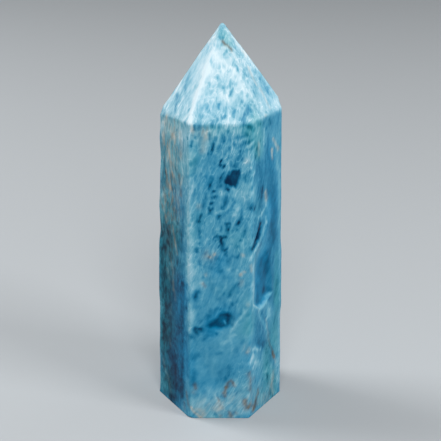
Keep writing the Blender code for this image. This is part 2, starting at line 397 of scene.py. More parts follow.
# How light the crystal is, drawn as soft strokes: (half width in mm, amount, pixels x and y
# in turn). An amount below 0 is clearer and darker, above 0 is milkier and paler. The strokes
# marked below as painted highlights or painted shade stand for light and shade instead.
toneStrokes = [
    # Front facet, from the shoulder down.
    (0.75, -0.34, 242.5, 121.5, 244.5, 125, 248, 126.5, 251, 127.5),
    (0.36, -0.42, 212.4, 120.5, 212, 126.5), (0.3, -0.28, 216.4, 120, 215.4, 123.5),
    (0.45, -0.18, 227, 131), (0.5, -0.15, 234.5, 127.5), (0.4, -0.13, 218, 132),
    (0.34, -0.3, 194.8, 125.8, 194, 129.6), (0.3, -0.3, 188.3, 133.2), (0.34, -0.25, 192, 135.3),
    (0.3, -0.3, 195.4, 137.7), (0.3, -0.14, 198.5, 129.5),
    (0.36, -0.46, 191.5, 141.5, 190.6, 146), (0.34, -0.22, 190.4, 147, 190.2, 151),
    (0.42, -0.42, 209.7, 134.4, 210.4, 138.2), (0.36, -0.14, 208.6, 139, 208.4, 146),
    (0.36, -0.32, 216.4, 137.4, 214.5, 140.8), (0.34, -0.5, 213.2, 144.3, 212, 149.5),
    (0.32, -0.24, 211.4, 151, 211, 154.4), (0.42, -0.34, 223.2, 136.2, 222.8, 141.2),
    (0.42, -0.28, 220.6, 146, 219, 151), (0.42, -0.36, 229.1, 148.8), (0.35, -0.14, 227, 151.4),
    (0.32, -0.25, 225.2, 154.3), (0.42, -0.2, 233.5, 143.6), (0.4, -0.1, 229.5, 140.3),
    (0.34, -0.15, 236.7, 148.5), (0.5, -0.2, 237, 138.2, 241, 136.4, 246.5, 134.8, 249.5, 136.6),
    (0.52, -0.14, 240.8, 146.2, 244.5, 144, 248.5, 141.8, 252.5, 139),
    (0.5, -0.1, 243, 142.6, 249, 142.4), (0.42, -0.2, 251, 148.8, 254.8, 145.6),
    (0.62, -0.14, 238, 137.6, 243, 135.6, 248, 134.8),
    (0.7, -0.14, 241.6, 146.4, 246, 143.6, 251, 141),
    (0.8, -0.1, 243, 122, 246.6, 124, 249, 125.4), (0.6, -0.12, 229.4, 184),
    # The second stroke here is a painted glint, a small highlight in the eye.
    (0.7, -0.12, 209.4, 325.2, 216, 323.4), (0.28, 0.4, 223.8, 322, 225, 324),
    (0.4, -0.2, 186.4, 190.4, 186.2, 194.6), (0.4, -0.1, 242, 150.4, 247, 150),
    (0.28, 0.14, 240.5, 139.8, 246, 138.6, 251, 136.8),
    (0.28, 0.34, 248.2, 146.8, 251.5, 144.6, 254.2, 141.2), (0.5, -0.1, 252, 132),
    (0.36, -0.2, 215.8, 157.5, 214.2, 165), (0.32, -0.34, 221.6, 160.8, 220.5, 164.8),
    (0.42, -0.5, 223.8, 165.6), (0.35, -0.22, 222, 167.6),
    (0.45, -0.24, 239.6, 155.6, 237, 160, 235.6, 165), (0.38, -0.28, 234.2, 166.6),
    (0.32, -0.16, 231.2, 161.5, 230.8, 166), (0.32, -0.12, 235.6, 154),
    (0.4, -0.24, 254.8, 155, 255.8, 158.5), (0.7, 0.12, 247.2, 161.5, 246, 169),
    (0.36, 0.1, 228, 163, 229.2, 169),
    (0.26, 0.13, 219.4, 132, 217.2, 141, 215.8, 148, 214.2, 154),
    (0.8, -0.16, 190.5, 163.4, 196.8, 161.6, 196.4, 166), (0.8, -0.13, 192.6, 169.4),
    (0.6, -0.16, 187.4, 176.6, 190.4, 176), (0.36, -0.18, 193.4, 173.4, 191.6, 175.6),
    (0.42, -0.18, 195.6, 176, 194.6, 179), (0.42, -0.16, 206, 177),
    (0.5, -0.3, 212.6, 178, 210.2, 184.4), (0.42, -0.2, 209.6, 184.6, 208.2, 189.4),
    (0.4, -0.36, 220.6, 177.4, 221.4, 175.6, 223.6, 172.6),
    (0.5, -0.24, 221, 180, 219.4, 183.6, 217.2, 187), (0.34, -0.22, 225.6, 183, 226, 186.4),
    (0.38, -0.55, 226.4, 189.2, 228, 189.4), (0.6, -0.28, 246.4, 176.4, 245.2, 177.8),
    (0.42, -0.18, 248.4, 173.6), (0.42, -0.15, 245.6, 181.4), (0.36, -0.16, 252.8, 187.6),
    (0.34, -0.18, 195.2, 191, 193.4, 198, 191.2, 204.4),
    (0.38, -0.22, 206.2, 194, 204.6, 201, 202.8, 206.6), (0.3, -0.44, 213, 191.3, 214.8, 191.4),
    (0.45, -0.44, 212.2, 197.6, 215, 197.4), (0.36, -0.5, 210.6, 202.8, 212.2, 203),
    (0.33, -0.4, 208.8, 208, 210.4, 209.8, 212.2, 208.8), (0.45, -0.14, 211.2, 213.5),
    (0.36, -0.1, 212.6, 205.6), (0.45, -0.34, 226.6, 197, 226, 201, 224.6, 205.2, 223.4, 208.2),
    (0.3, -0.24, 222.6, 208.8), (0.42, -0.2, 231.2, 197.8, 233.4, 200, 235.2, 201.8),
    (0.45, -0.17, 232.4, 206.6, 226.8, 212.4, 222.4, 216),
    (0.32, -0.4, 218.2, 216.2, 220.4, 216.4), (0.32, -0.42, 219, 218.6),
    (0.9, -0.18, 251.4, 205, 251.6, 210.6), (0.5, -0.16, 249.2, 208.4),
    (0.5, -0.12, 242.6, 208.2), (0.48, -0.26, 241.2, 211.6, 241.6, 217, 240.2, 222.6),
    (0.45, -0.3, 248.4, 219.4), (0.36, -0.2, 193.2, 216, 192.2, 221.4),
    (0.42, -0.32, 200.6, 215, 198.6, 221), (0.55, -0.18, 198.2, 222, 198.2, 228),
    (0.42, 0.24, 254.2, 171.6, 252.6, 179.6, 249.6, 186.6), (0.5, 0.26, 254.2, 188.6, 252, 194.6),
    (1.2, 0.12, 234, 195.6, 249, 195.4), (0.6, 0.18, 235.6, 205.4, 238.6, 208.6),
    (0.5, 0.16, 236.6, 210.6, 234.2, 215.6), (0.36, 0.16, 228.6, 207.6, 221.6, 211.2, 215.4, 213),
    (0.32, 0.14, 203.8, 183.6, 201.6, 190, 200.4, 197, 199.2, 204.6),
    (0.42, 0.12, 199.6, 169.6, 198.8, 178.6), (0.32, 0.1, 196.8, 195.6, 194.4, 205, 192.8, 212),
    (0.28, 0.1, 209.8, 195.6, 207.6, 203.6, 206.8, 213), (0.5, 0.1, 220.4, 190.6, 221.8, 194.6),
    (0.36, -0.34, 225.8, 223.8, 230, 224), (0.46, -0.28, 226.6, 226, 227.2, 229.6),
    (0.36, -0.26, 228, 231, 228, 233.6), (0.32, -0.3, 221.6, 226.4, 222, 229, 220.8, 231.2),
    (0.34, -0.13, 220, 222.6), (0.4, -0.42, 220, 237.2, 225.8, 237.2),
    (0.46, -0.42, 221.2, 240, 222.4, 243.6), (0.48, -0.2, 222.2, 246.6, 222, 249),
    (0.36, -0.4, 216, 236.8), (0.36, -0.15, 215.2, 240.4), (0.24, -0.2, 217.8, 231.6),
    (0.34, -0.3, 227, 248.4, 224.8, 250.2), (0.34, -0.3, 226.8, 252.6),
    (0.28, -0.22, 224.6, 254.2), (0.42, -0.22, 227.2, 256.4), (0.42, -0.2, 233.6, 256.8),
    (0.36, -0.26, 239, 254.6, 237.8, 257), (0.42, -0.25, 237.4, 246.4),
    (0.34, -0.38, 241.4, 240.8), (0.38, -0.3, 244.8, 232, 243, 236.8),
    (0.34, -0.16, 246.6, 226.6, 245.4, 230.6), (0.36, -0.25, 236.8, 229.6),
    (0.3, -0.2, 239, 226.2), (0.42, -0.2, 238.6, 221.4, 237, 224), (0.34, -0.12, 231.2, 244.6),
    (0.32, -0.32, 199.4, 231, 199.4, 237.8), (0.3, -0.28, 199.2, 243.2),
    (0.36, -0.36, 197.2, 248.4, 196.6, 251.6), (0.4, -0.28, 200.2, 260.6, 199.4, 264),
    (0.36, -0.15, 201.6, 266), (0.38, -0.2, 193, 263), (0.38, -0.18, 191.6, 233.6),
    (0.3, -0.12, 191.8, 247.4), (0.36, -0.12, 204, 254), (0.36, -0.12, 203, 247),
    (1.5, -0.11, 214.6, 260, 229, 261), (0.5, -0.16, 216.6, 259.4, 222.6, 259.6),
    (0.75, -0.2, 211, 267.6), (0.55, -0.2, 219.4, 267.4, 217.8, 271.4, 222.6, 270.8),
    # Painted highlight along the front left edge: both strokes on the next line and the first
    # stroke on the line after it.
    (0.6, 0.1, 189.2, 224, 189, 228), (0.5, 0.1, 188.4, 240, 188, 248),
    (0.75, 0.17, 189.8, 256, 190.4, 268, 189.4, 282), (0.5, 0.15, 234.2, 261.2),
    (0.28, 0.1, 231.6, 236, 229.6, 245, 229, 252), (0.3, 0.1, 243.6, 238, 240.2, 250),
    (0.34, 0.12, 250.6, 225, 246.4, 240, 244.4, 248), (0.5, 0.1, 209, 249.4, 212, 251.6),
    (0.34, 0.16, 218.4, 231, 219, 235), (0.72, -0.5, 197.6, 292.2, 195.4, 296.8),
    (0.4, -0.18, 200.6, 292.6), (0.58, -0.26, 236.8, 284.2, 233.2, 289, 230.4, 294.2),
    (0.5, -0.12, 221.6, 286.6), (0.6, -0.11, 212.6, 287.6),
    (0.55, -0.12, 218.2, 292, 223.2, 293.8), (0.8, -0.2, 218.6, 298.8),
    (0.5, -0.34, 232.4, 304.2), (0.5, -0.2, 236.6, 301.6), (0.5, -0.18, 229.2, 307.4),
    (0.7, -0.13, 223.4, 304.6), (0.5, -0.2, 215.6, 309.2, 219.6, 309),
    (0.7, -0.2, 212.8, 311.8, 210, 315.8), (0.5, -0.14, 195.6, 301.2),
    (0.42, -0.12, 199.6, 306.6), (0.7, -0.1, 222.4, 275, 226.4, 278), (0.42, -0.14, 232.6, 270.6),
    (0.5, -0.1, 215.6, 283.4),
    (0.36, 0.22, 190, 286.6, 192.4, 289, 195.2, 286.4, 197.6, 283.4, 202, 282.6),
    (0.6, 0.2, 228.6, 269.6), (0.42, 0.14, 237.4, 270.4, 240.6, 272.2),
    (0.42, 0.12, 227, 280.4, 225.2, 286.6), (0.5, 0.1, 211.4, 280.6, 214.4, 281.6),
    (0.6, 0.12, 216.6, 288.6), (0.6, 0.14, 252.2, 283.6, 251.8, 290),
    (0.5, 0.2, 253.6, 305, 253.2, 309), (1, 0.1, 249.4, 300, 248, 308),
    # The first stroke here is painted highlight along the front left edge.
    (0.75, 0.15, 190, 312, 191, 324), (0.6, -0.1, 244, 306.4),
    (0.42, -0.2, 241.4, 310.6, 240.6, 315.2), (0.6, -0.22, 208.6, 331.4, 211.8, 331.6),
    (0.5, -0.18, 209, 335.4), (0.42, -0.34, 216.2, 333.4), (0.42, -0.16, 213, 335.2),
    (0.62, -0.34, 194.4, 331.2, 197, 333), (0.5, -0.36, 196.2, 328.2, 200.6, 328.6),
    (0.6, -0.18, 203.2, 330.6), (0.55, -0.24, 203.6, 339.6), (0.6, -0.15, 206.6, 336.8),
    (0.5, -0.2, 190, 335.6, 193.4, 338.4), (0.75, -0.2, 197.2, 354.6, 193.6, 358.8),
    (0.45, -0.18, 217, 353.8, 221.2, 353.2), (0.72, -0.16, 242.6, 342.4),
    (0.6, -0.14, 237.2, 348.4, 235.8, 351.4), (0.7, -0.12, 200.6, 321.4),
    (0.8, -0.14, 206.4, 317.6), (1.3, -0.12, 223.4, 311.4, 231.6, 312.4),
    (0.9, -0.2, 231, 315, 230.4, 324), (1, -0.1, 207.4, 320, 204.6, 328),
    (0.42, 0.18, 244.4, 311, 240.6, 318.6, 236.8, 322.4, 233.8, 327.8, 230.6, 331.4),
    (0.32, 0.2, 232.8, 328.6), (0.4, 0.2, 234.8, 334.6),
    (0.42, 0.17, 232.6, 336.4, 230.4, 340.2, 226.2, 341.2, 221.4, 343.4),
    # The second stroke here is painted highlight along the front left edge.
    (0.32, 0.1, 231.6, 341, 231.8, 350), (0.6, 0.34, 189.8, 329, 189.8, 332.6),
    (0.4, 0.12, 207.6, 350.6, 206.4, 361), (0.55, 0.42, 252.6, 356.6, 250.8, 362.6),
    (0.6, 0.36, 255.4, 362.6), (0.5, 0.3, 253.6, 366.6),
    (0.85, -0.26, 195.8, 373.6, 194, 379, 193.2, 383.6), (1.2, -0.1, 201, 381),
    (0.55, -0.22, 205, 391.6), (0.42, -0.14, 203.6, 393.4, 201.6, 398.6),
    (0.45, -0.12, 198, 395.2), (0.6, -0.12, 207, 366.4), (0.7, -0.1, 217, 384),
    (0.6, -0.15, 229.8, 367.6, 229, 375.2), (0.55, -0.16, 225.2, 379.8), (0.6, -0.1, 221, 372.4),
    (0.6, -0.12, 218, 396.2, 222, 396.8), (0.5, -0.24, 215.6, 414.2), (0.6, -0.12, 241.2, 391.2),
    (0.48, 0.26, 236.8, 379.6, 235.6, 384.6), (0.7, 0.2, 191.8, 400.4, 192.6, 406.4),
    (0.36, 0.2, 215, 395.4, 217.2, 401.4), (0.8, 0.1, 206.6, 401.6, 213.6, 402.4),
    (0.8, 0.12, 211.4, 416.2), (0.6, 0.18, 240.4, 413, 247.4, 411.4, 252, 409.8),
    (0.5, 0.13, 248.6, 394.6, 247.2, 401.6), (0.36, 0.22, 260.6, 380.6, 258.6, 385.4),
    (0.5, 0.1, 230.2, 396.6, 230, 409), (1.2, 0.06, 196.4, 391, 209, 392),
    # Point facets, from the tip down.
    (1.1, -0.2, 222, 30, 222.4, 36), (0.5, -0.16, 219, 37.6, 223, 40.4),
    (0.32, -0.18, 223.6, 42.6, 228, 45.6, 231.2, 49.2), (0.5, -0.14, 226, 41.6, 230, 43.4),
    (0.8, -0.18, 232.4, 43, 234.4, 48, 237.4, 53.4, 241, 57), (1, -0.15, 210.6, 44.6, 208.6, 51),
    (0.36, -0.14, 216.8, 45.4), (0.4, -0.16, 221.4, 49.6), (0.42, -0.3, 227.2, 51.2),
    (0.38, -0.26, 224, 54.2), (0.36, -0.16, 229.2, 54.4), (0.38, -0.18, 223.6, 58.4),
    (0.36, -0.12, 226.4, 57.4),
    (0.36, -0.12, 211.2, 61, 211.8, 65.2, 214.4, 67.6, 217.4, 68.8, 219.8, 66),
    (0.42, -0.28, 234.8, 61.2, 233.2, 65.8), (0.42, -0.32, 236.8, 65.6, 238.4, 69.8),
    (0.42, -0.24, 229.4, 71.4), (0.6, -0.24, 245.6, 68.6, 245.4, 73.4), (0.42, -0.16, 254, 71.6),
    (0.8, 0.12, 209, 58.6, 204.6, 70), (1, 0.12, 214, 52.4), (1.2, 0.12, 220, 61.6, 227, 62),
    (1.2, 0.12, 210, 70.6, 221, 70.8), (1, 0.14, 233, 69.6, 238.6, 76.6),
    (0.42, -0.22, 217.7, 77.4), (0.38, -0.26, 209.4, 83.8, 208.8, 86.4),
    (0.5, -0.18, 211.2, 92.2), (0.38, -0.14, 226.4, 75), (0.45, -0.14, 221.6, 81.8, 218.8, 85.8),
    (0.45, -0.14, 223.6, 82.4), (0.4, -0.28, 223.4, 87.6), (0.36, -0.22, 223.8, 89.6, 224.2, 93),
    (0.48, -0.18, 229.4, 82, 227.6, 87.2), (0.38, -0.24, 232.7, 83.4), (0.38, -0.18, 236.8, 84),
    (0.38, -0.2, 233, 88.2), (0.46, -0.5, 231.8, 91.6, 230.8, 94.6),
    (0.36, -0.12, 218, 90.6, 217.6, 94.6), (0.48, -0.18, 238.4, 95.4, 239, 98.6),
    (0.42, -0.18, 244, 74.4, 243.4, 77.4), (0.42, -0.14, 248.2, 76.4), (0.42, -0.12, 216.8, 98.2),
    (0.6, -0.12, 222.2, 99), (0.42, -0.16, 205.4, 105, 204.4, 107.4, 207, 107.6),
    (0.42, -0.1, 201.8, 108.2), (0.42, -0.38, 219.4, 104.8, 219, 108.6),
    (0.52, -0.26, 226, 107.4, 224.4, 112.6), (0.44, -0.3, 234.6, 110, 233.4, 116.4),
    (0.38, -0.5, 224.6, 116.4, 223.2, 118.2), (0.36, -0.38, 241.7, 102.2),
    (0.6, -0.2, 241.6, 106.6), (0.45, -0.24, 248.4, 101, 248, 105.4),
    (0.6, -0.36, 247.4, 109.4, 245.8, 113.4), (0.6, -0.26, 250.4, 109.6, 252.4, 115.8),
    (0.5, -0.14, 238.4, 112.4), (0.5, -0.24, 243.6, 118.4),
    (0.42, -0.18, 237.8, 117.4, 237.2, 120.8), (0.45, -0.2, 200.8, 115.6),
    (0.5, -0.24, 215.4, 116.6, 217.2, 120), (0.42, -0.13, 232.6, 120.6),
    (0.3, 0.1, 221.8, 113, 229.6, 116), (0.8, 0.1, 242.4, 86, 246, 95, 245.6, 99),
    # Painted highlight: the stroke below runs down the point's front left edge, where the rounded
    # edge catches the light. On the line after it come a painted highlight at that edge's foot and
    # a fainter one down the point's front right edge.
    (
        0.6, 0.3, 206.4, 66, 205, 73, 201, 82, 199, 88.4,
        196, 97, 193.4, 105, 190.8, 115, 189.6, 122.6,
    ),
    (0.6, 0.2, 189.8, 118.6, 190, 123), (0.5, 0.14, 226, 29, 236, 41.6, 246, 54.8, 255.6, 67.4),
    (0.75, -0.24, 187, 80.6, 188.4, 83.4), (0.5, -0.3, 185, 85.6, 185.4, 89),
    (0.8, -0.15, 184.8, 91.8, 186, 95), (0.7, -0.14, 189.6, 73.6, 188, 77),
    (0.5, -0.2, 176.4, 94.6, 177.8, 96.4), (0.5, -0.22, 180.4, 97.6, 179.6, 100.2),
    (0.45, -0.36, 176.4, 104.6), (0.45, -0.14, 178.4, 101.4),
    (0.38, -0.16, 175.6, 108, 175.8, 112.4), (0.42, -0.13, 194.6, 86.6),
    (0.5, 0.1, 172.4, 106.6, 169.4, 112.4), (0.9, -0.22, 261.2, 75.8, 263.6, 82, 266.4, 88.6),
    (0.5, -0.1, 259.4, 78.8, 261.2, 84.4), (0.6, -0.22, 268.2, 91.6),
    (0.6, -0.13, 252.4, 86.6, 253.6, 90.4), (0.5, -0.17, 254.6, 93, 253.4, 97.2),
    (0.5, -0.28, 252.2, 101.4), (0.5, -0.22, 254.4, 105.6, 255.6, 110.6),
    (0.7, 0.16, 260.6, 102.4, 261.8, 108.6), (0.9, 0.1, 273, 102, 277, 106.6),
    # Front left facet.
    (1.1, -0.14, 179.4, 117, 177.6, 126), (0.6, -0.1, 163.6, 160, 164.2, 172),
    (0.6, -0.13, 174.2, 163, 175.2, 168), (0.9, -0.16, 162.6, 178.6, 164, 186),
    (0.9, -0.1, 172.4, 177.6, 176.4, 185), (0.36, 0.1, 182.6, 158, 181.8, 173),
    (0.8, -0.12, 163.2, 225), (0.8, -0.1, 167.6, 228, 168.6, 233.4), (0.8, -0.2, 168, 242.4),
    (0.5, -0.13, 162.2, 233, 162.4, 240.4), (0.6, -0.2, 169.8, 253, 169.8, 260.6),
    (0.8, -0.13, 163.4, 246, 163.6, 262), (0.6, -0.15, 181.4, 229, 181.6, 251),
    (0.42, 0.15, 174.6, 221, 176.8, 225.6), (0.4, 0.15, 162.2, 222, 161.8, 229),
    (0.65, -0.14, 168.8, 290.6, 169.4, 297.4), (0.85, -0.12, 183.2, 279, 184, 293),
    (0.8, -0.12, 184, 307.2), (1, -0.1, 180.4, 316, 179.2, 329), (1.4, -0.06, 165, 302, 167, 336),
    (0.9, -0.1, 175.6, 356.2), (1.2, -0.1, 175, 366, 176, 384), (0.9, -0.16, 181.4, 380),
    (0.8, -0.12, 182.2, 396), (0.8, -0.1, 170.2, 395.4), (0.7, -0.1, 175.2, 398.2),
    (1, 0.1, 162, 383, 168, 389), (0.7, -0.2, 187.2, 334, 187.4, 375),
    (0.6, -0.3, 186.6, 300, 186.6, 310), (0.4, -0.2, 186.2, 284.6, 186.4, 288.6),
    # Front right facet.
    (1, -0.18, 258.6, 123.4, 263, 123), (0.5, -0.24, 266.8, 117.4), (0.9, -0.26, 270, 122.6),
    (0.5, -0.22, 266.4, 128.2), (0.5, 0.14, 258.4, 142.6, 260, 148.6), (0.4, 0.1, 256.4, 127),
    (0.6, 0.14, 277.6, 152, 278, 168), (0.42, 0.2, 258.6, 128, 257.4, 140),
    (0.36, 0.22, 264.4, 129, 264, 143), (0.4, -0.2, 268.6, 134, 267.4, 150),
    (0.36, 0.2, 272, 150, 272.4, 157), (0.4, 0.2, 251.5, 168.5),
    # The first stroke here is a painted highlight, a pale line along the right edge.
    (0.5, 0.16, 279.4, 170, 279.4, 240, 279.2, 380), (1, -0.1, 261.8, 165, 262, 180),
    (0.75, -0.26, 262.4, 187.6, 261.2, 196.4), (0.42, 0.38, 266, 201, 266, 205.6),
    (0.34, 0.28, 264.2, 209.6, 261.2, 214.6, 258.6, 218.2),
    (0.38, 0.32, 265.6, 216.6, 266, 222.4),
    (
        0.46, 0.34, 265.8, 222, 264, 228.6, 261.6, 236.6,
        259, 243.6, 256, 249.4, 252, 256.4, 250.8, 260,
    ),
    (0.7, -0.22, 253.2, 206, 254, 209.6), (0.5, -0.15, 256.2, 213.4),
    # The second stroke here and the first on the next line are painted shade inside the slit.
    (0.9, -0.16, 256.6, 222.4, 254.6, 234), (0.5, -0.4, 260.2, 224, 258.8, 230),
    (0.75, -0.56, 259.4, 230, 257.8, 238, 255.6, 243.6, 253, 248.6), (0.26, 0.5, 258, 232.2),
    (1.2, -0.1, 270.6, 221, 271.2, 232), (1, -0.18, 267.2, 252),
    (0.42, 0.12, 272.6, 248, 271.4, 259), (1.2, -0.16, 262.4, 262, 261.2, 273),
    (1.2, -0.12, 267.4, 262, 266.8, 288), (1, -0.1, 257.8, 266, 258.2, 286),
    # The first stroke here is painted shade in the deepest part of the scoop.
    (0.8, -0.16, 259.6, 288, 259.6, 303.6), (0.8, -0.12, 266.6, 288.6, 270.4, 289.6),
    (0.5, 0.14, 252.8, 284, 254, 303),
    # Painted highlight: the pale lip at the scoop's lower end, where its wall faces up to the
    # light. Both strokes on the line after it belong to the lip too.
    (
        0.42, 0.36, 254, 304.8, 256.6, 307.6, 259.8, 308.6,
        263.6, 306.6, 266.2, 302, 268, 297, 271.6, 293.2,
    ),
    (0.36, 0.16, 257, 308.2, 261.6, 308.6), (0.6, 0.12, 266.4, 296.4, 270, 295),
    (0.48, 0.22, 259, 311.2, 260.2, 316.4, 263.2, 322, 266, 326.4), (0.5, -0.2, 262.2, 313.2),
    (0.48, 0.28, 269.2, 310.2, 267.4, 318.6), (1.2, -0.14, 255.4, 325, 256.4, 338),
    (0.42, 0.16, 266.2, 328, 267.8, 337), (1.2, -0.14, 253.4, 342, 262.6, 344.6),
    (0.42, 0.4, 252.8, 349.6, 255, 347.4, 257.2, 350.4), (0.5, 0.42, 260.2, 349.4),
    (0.32, -0.26, 254.6, 352.4), (0.7, 0.24, 256.4, 361, 257.6, 363),
    (0.8, 0.2, 253.4, 355, 251.8, 362), (1.6, 0.1, 256, 358, 257, 366),
    (0.42, 0.12, 263.2, 352, 262.4, 363), (1.1, -0.1, 265.8, 351, 266.2, 364),
    (0.5, 0.18, 271.2, 366, 271.6, 381), (0.4, -0.2, 267.4, 374, 267.6, 383),
    (0.8, -0.16, 268, 376.4), (0.8, -0.18, 270.8, 393), (0.8, 0.22, 276.6, 361, 276.8, 380),
    (0.5, -0.2, 257, 398, 256, 402.4), (0.6, 0.12, 262, 396, 261, 402),
]

# Clear navy windows: (facet, softness of the outline in mm, amount, outline in pixels).
navyWindows = [
    (
        "front", 0.26, -0.54,
        [
            (231.2, 171.2), (236.0, 169.6), (240.4, 168.6), (240.6, 173.6), (239.2, 179.4),
            (237.6, 184.2), (236.0, 188.2), (233.6, 186.6), (231.4, 187.2), (229.2, 185.6),
            (227.6, 184.0), (225.0, 182.4), (224.6, 180.0), (226.2, 177.0), (227.4, 175.2),
            (229.8, 175.0),
        ],
    ),
    (
        "front", 0.5, -0.46,
        [
            (206.4, 326.0), (208.6, 322.8), (212.8, 320.0), (216.6, 317.2), (220.6, 313.8),
            (224.0, 312.2), (228.0, 312.6), (230.4, 315.6), (230.2, 319.6), (229.4, 324.6),
            (226.4, 328.0), (221.4, 329.0), (215.0, 328.2), (209.0, 327.8),
        ],
    ),
]

# Stains: (half width in mm, amount, pixels x and y in turn). An amount above 0 is a pale
# beige stain, below 0 a dark brown one.
stainStrokes = [
    # Point.
    (0.38, -0.75, 222.4, 41.4, 225.4, 44, 228, 45.6, 230.4, 48, 232, 50.4),
    (0.4, 0.3, 248.6, 67.6, 252.2, 76, 256.6, 84.4),
    (0.34, 0.3, 260, 88.2, 263.2, 94.4, 266.6, 101.2, 270.2, 108.4), (0.5, 0.25, 209.4, 41),
    (0.4, 0.2, 243, 51.6, 246, 56),
    # Front facet.
    (0.7, 0.34, 204.6, 133, 205.6, 137), (0.42, 0.34, 191.2, 126, 191.4, 131),
    (0.8, 0.2, 203.4, 142, 203, 151), (0.7, 0.2, 198.8, 206.4), (0.7, 0.16, 246.6, 161),
    (0.36, 0.5, 214.4, 254.6), (0.45, 0.42, 210, 257), (1, 0.2, 206, 256),
    (0.42, 0.36, 242.6, 255.2), (0.45, -0.5, 202.6, 283.6), (0.4, -0.36, 205, 286.6),
    (0.5, 0.26, 205.6, 275), (0.4, 0.7, 240.8, 274.6), (0.36, 0.46, 244.4, 272),
    (0.6, 0.2, 242, 281.6, 240.6, 285), (0.5, 0.36, 251.6, 265.6, 251.8, 270.6),
    (0.6, 0.16, 248.4, 304.6), (0.5, 0.34, 247.6, 352), (0.5, 0.2, 249.6, 348.6),
    # Front facet, at the foot.
    (0.4, -0.5, 224.8, 396, 225, 391, 226, 387, 228, 383, 230.6, 380.6, 233, 382.6, 234.4, 385.6),
    (0.38, -0.4, 226.4, 387), (0.34, -0.4, 232.8, 383.4), (0.36, -0.3, 222.8, 393),
    (0.6, -0.2, 230, 385.6), (0.75, -0.4, 249.8, 374, 250.6, 381, 250.6, 388.6),
    (0.5, -0.26, 254, 378), (0.4, -0.5, 258, 389.6, 258.4, 394.4),
    (0.55, -0.6, 255.4, 401, 254.4, 407, 253, 410.6),
    (0.6, -0.55, 244.8, 400.6, 245.4, 405, 248.6, 407.6), (0.6, -0.3, 245.4, 409.4),
    (0.4, 0.6, 191.2, 407.6, 193.4, 411.6, 196.6, 414.4, 200.4, 417.4), (0.5, 0.3, 197.2, 409.4),
    (0.75, 0.36, 201, 411, 204, 415.4), (0.5, -0.5, 194.8, 385, 195.6, 388),
    (0.6, -0.2, 193.6, 392.6), (0.55, -0.6, 229.8, 413, 230.8, 416.4), (0.5, -0.4, 236, 413),
    (0.9, 0.3, 214.6, 408.4, 219, 409.2), (0.7, 0.26, 219.4, 403, 221.4, 408),
    (0.32, -0.36, 217.8, 398, 219.2, 400.6), (0.5, -0.3, 220.6, 416),
    # Front left facet.
    (0.7, 0.22, 166.4, 116.6, 164, 123), (0.5, 0.3, 163.2, 132, 164.2, 143.4),
    (0.65, 0.3, 173.6, 131.6, 174.6, 139.6), (0.7, 0.26, 180.2, 133, 181, 150, 181.2, 157.6),
    (0.5, 0.36, 168, 148, 168.8, 155, 169.6, 163, 171.2, 170, 173.2, 175.6),
    (0.5, 0.3, 166, 170.6, 167.2, 178, 169.4, 186.4), (0.5, -0.4, 179.4, 175, 179.2, 183),
    (0.34, 0.26, 182.4, 177.6, 180.2, 186.6), (0.5, 0.3, 169, 186, 169.6, 191.6),
    (0.55, -0.4, 164, 188.6, 165.2, 200.4), (0.5, 0.3, 160.8, 199, 163, 206, 164.6, 211.4),
    (0.46, 0.36, 165.6, 216, 166.6, 221.6), (0.48, 0.28, 177, 200, 178.2, 206.6),
    (0.5, 0.22, 179.6, 210.6, 179, 217.6), (0.6, -0.36, 180.4, 190, 180.6, 195.6),
    (0.44, 0.48, 172.6, 226, 173.2, 232, 175, 240, 175.8, 246, 177.2, 253.6),
    (0.34, 0.22, 174.8, 239.6, 175.6, 246), (0.48, 0.3, 167.2, 269.6, 169.2, 278.4),
    (0.48, 0.3, 171.2, 262, 173, 270, 172.6, 277.6), (0.44, 0.54, 173, 281, 173, 289.4),
    (0.5, 0.36, 174.2, 291, 175.2, 299.6), (0.45, 0.22, 171.4, 304.6, 170.2, 313.4),
    (0.4, 0.3, 170, 339.6, 170.2, 346.6),
    (0.42, 0.33, 163.2, 359, 164.6, 369, 168, 377, 169.6, 385, 170.8, 391.4),
    (0.5, -0.4, 186.4, 392, 187.8, 404), (0.5, -0.26, 184.2, 403, 184.6, 408.6),
    # Front right facet.
    (0.4, 0.3, 265.8, 115.6), (0.5, 0.42, 273.4, 139.4, 275.6, 144.4, 278.2, 149),
    (0.46, 0.5, 272, 150, 272.6, 158.4), (0.45, 0.3, 258.8, 143, 259, 155),
    (0.6, 0.5, 265.6, 192, 266.4, 199.4), (0.36, 0.22, 266.2, 319, 267.6, 330, 269.2, 339),
    (0.36, -0.34, 269.6, 341, 270.4, 345, 272, 350.4, 274.2, 357.4),
    (0.4, 0.3, 274.6, 357, 275.6, 362), (0.44, -0.6, 272.8, 351.6, 273.8, 357),
    (0.55, 0.28, 273.4, 372, 272, 384, 273, 393), (0.7, -0.4, 250.4, 403.6, 253.6, 408.4),
    (0.5, -0.3, 256.6, 396, 256.8, 404.4),
]
